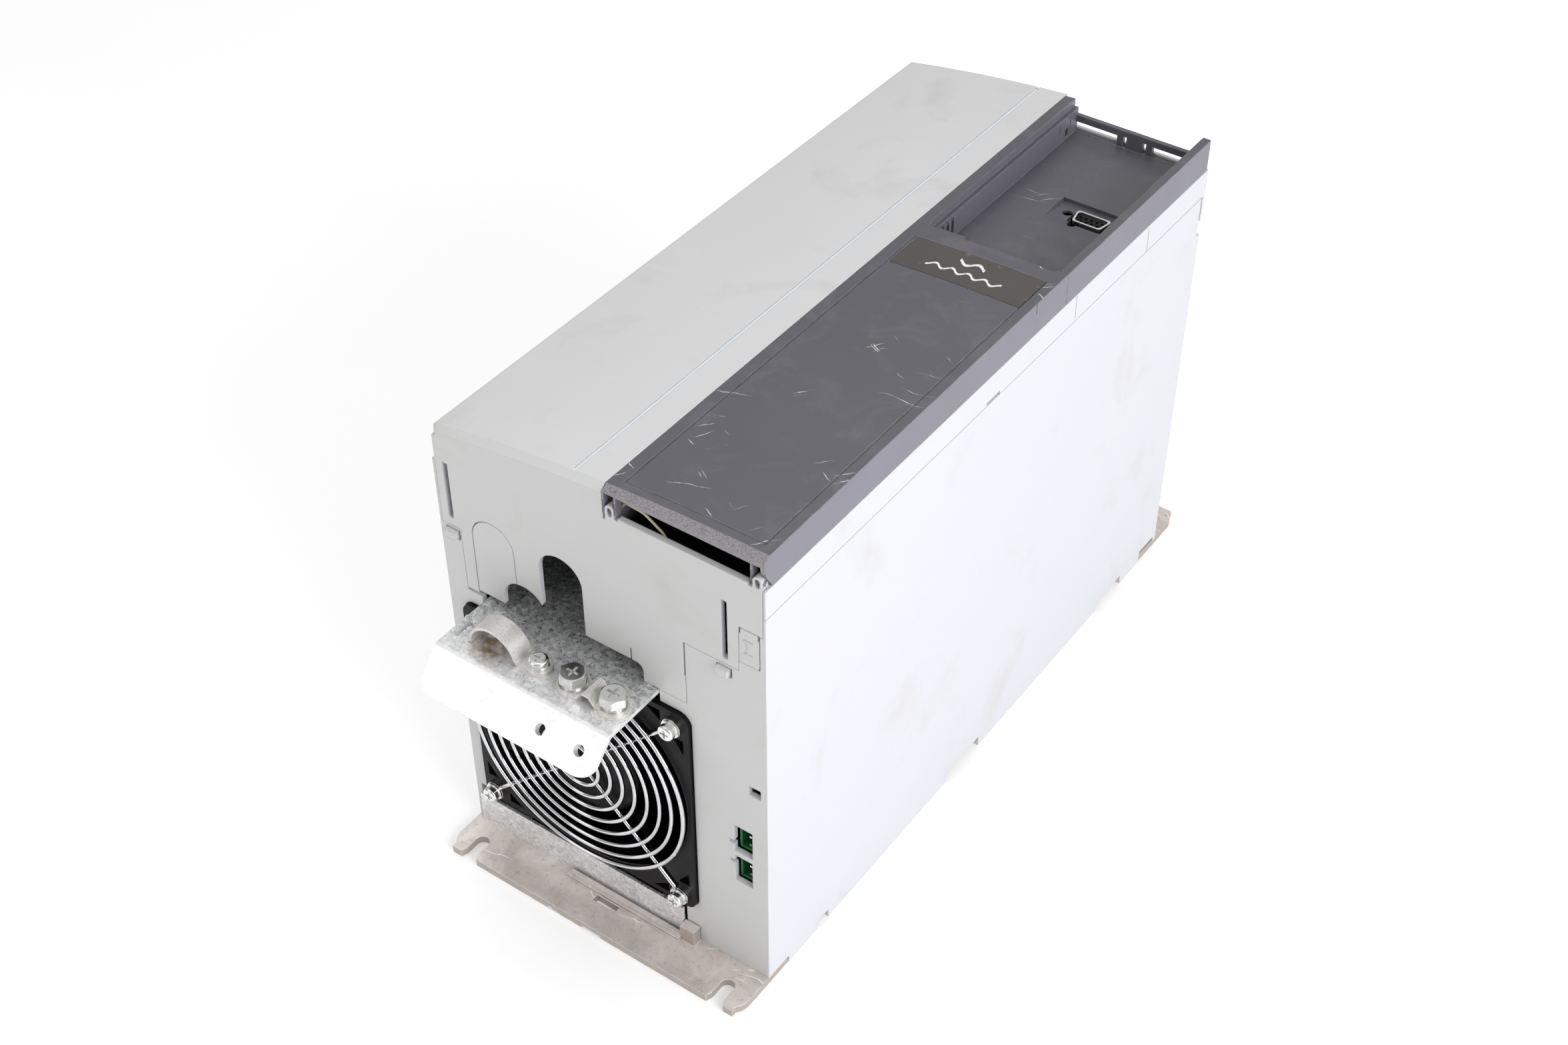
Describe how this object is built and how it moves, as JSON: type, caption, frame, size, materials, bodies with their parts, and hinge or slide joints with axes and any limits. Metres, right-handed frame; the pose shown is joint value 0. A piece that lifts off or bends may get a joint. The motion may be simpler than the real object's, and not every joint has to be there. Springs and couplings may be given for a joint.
{
  "type": "variable frequency drive",
  "caption": "Wall-mounted AC motor drive with hinged terminal cover, open keypad pocket with socket, screened cable plate with clamps and an end-mounted cooling fan behind a wire guard",
  "frame": {"origin": "centre of the 140 by 380 mm mounting pattern, on the back face of the base plate", "axes": "+Z out of the front of the drive, +Y up the wall towards the keypad end, +X to the right when facing the front"},
  "size_m": [0.165, 0.4221, 0.249],
  "materials": {
    "die_cast_aluminium": "cast, brownish grey, worn bright at the edges",
    "extruded_aluminium": "extruded, satin",
    "light_grey_plastic": "fine moulded texture, light grey",
    "dark_grey_plastic": "fine moulded texture, charcoal grey, scratched",
    "label_film": "printed film, dark brownish grey",
    "galvanised_steel": "hot-dip galvanised with a fine spangle",
    "zinc_plated_steel": "zinc plated, satin",
    "chrome_wire": "bright plated wire",
    "black_plastic": "black glass-filled plastic",
    "green_plastic": "green header plastic",
    "clear_plastic": "clear moulded plastic",
    "circuit_board": "green solder resist",
    "capacitor_sleeve": "dark shrink sleeve",
    "iron_core": "laminated and varnished",
    "copper_winding": "enamelled copper",
    "gold_contacts": "gold flashed",
    "tinned_pins": "bright tin plate",
    "cream_insulation": "pale wire insulation"
  },
  "bodies": {
    "drive": {"base_plate": "die_cast_aluminium", "fan_end_foot": "die_cast_aluminium", "far_end_foot": "die_cast_aluminium", "bracket_screws": "zinc_plated_steel", "heat_sink": "extruded_aluminium", "fan_bracket": "galvanised_steel", "housing": "light_grey_plastic", "housing_screws": "zinc_plated_steel", "front_cover": "light_grey_plastic", "knock_out_panel": "light_grey_plastic", "tab_cover": "light_grey_plastic", "keypad_cradle": "dark_grey_plastic", "socket_shell": "zinc_plated_steel", "socket_insert": "black_plastic", "socket_contacts": "gold_contacts", "lamp_pipe": "clear_plastic", "cable_plate": "galvanised_steel", "cable_plate_spacers": "zinc_plated_steel", "spacer_screws": "zinc_plated_steel", "saddle_clamp": "zinc_plated_steel", "low_clamp": "zinc_plated_steel", "saddle_screw": "zinc_plated_steel", "clamp_bolts": "zinc_plated_steel", "clamp_washers": "zinc_plated_steel", "clamp_nuts": "zinc_plated_steel", "fan_frame": "black_plastic", "fan_guard": "chrome_wire", "fan_screws": "zinc_plated_steel", "fan_washers": "zinc_plated_steel", "inverter_module": "black_plastic", "rectifier_module": "black_plastic", "module_screws": "zinc_plated_steel", "power_card": "circuit_board", "lower_pillars": "zinc_plated_steel", "upper_pillars": "zinc_plated_steel", "control_card": "circuit_board", "card_screws": "zinc_plated_steel", "capacitors": "capacitor_sleeve", "choke_cores": "iron_core", "choke_windings": "copper_winding", "mains_terminals": "black_plastic", "motor_terminals": "black_plastic", "control_terminals": "black_plastic", "relay_card": "circuit_board", "relay_header_upper": "green_plastic", "relay_header_lower": "green_plastic", "relay_pins_upper": "tinned_pins", "relay_pins_lower": "tinned_pins", "jumper_lead": "cream_insulation"},
    "terminal_flap": {"terminal_cover": "dark_grey_plastic", "label_plate": "label_film"},
    "fan_impeller": {"fan_rotor": "black_plastic"},
    "latch_left": {"latch_button_left": "light_grey_plastic"},
    "latch_right": {"latch_button_right": "light_grey_plastic"}
  },
  "joints": [
    {"name": "terminal_cover_hinge", "type": "hinge", "parent": "drive", "child": "terminal_flap", "pos_m": [0.044, -0.1742, 0.2352], "axis": [1, 0, 0], "range_deg": [0, 85]},
    {"name": "fan_spin", "type": "hinge", "parent": "drive", "child": "fan_impeller", "pos_m": [-0.0147, -0.16, 0.0849], "axis": [0, 1, 0], "continuous": true},
    {"name": "left_latch_press", "type": "slide", "parent": "drive", "child": "latch_left", "axis": [0, 1, 0], "range_m": [0, 0.002], "stiffness_N_per_m": 1500},
    {"name": "right_latch_press", "type": "slide", "parent": "drive", "child": "latch_right", "axis": [0, 1, 0], "range_m": [0, 0.002], "stiffness_N_per_m": 1500}
  ]
}
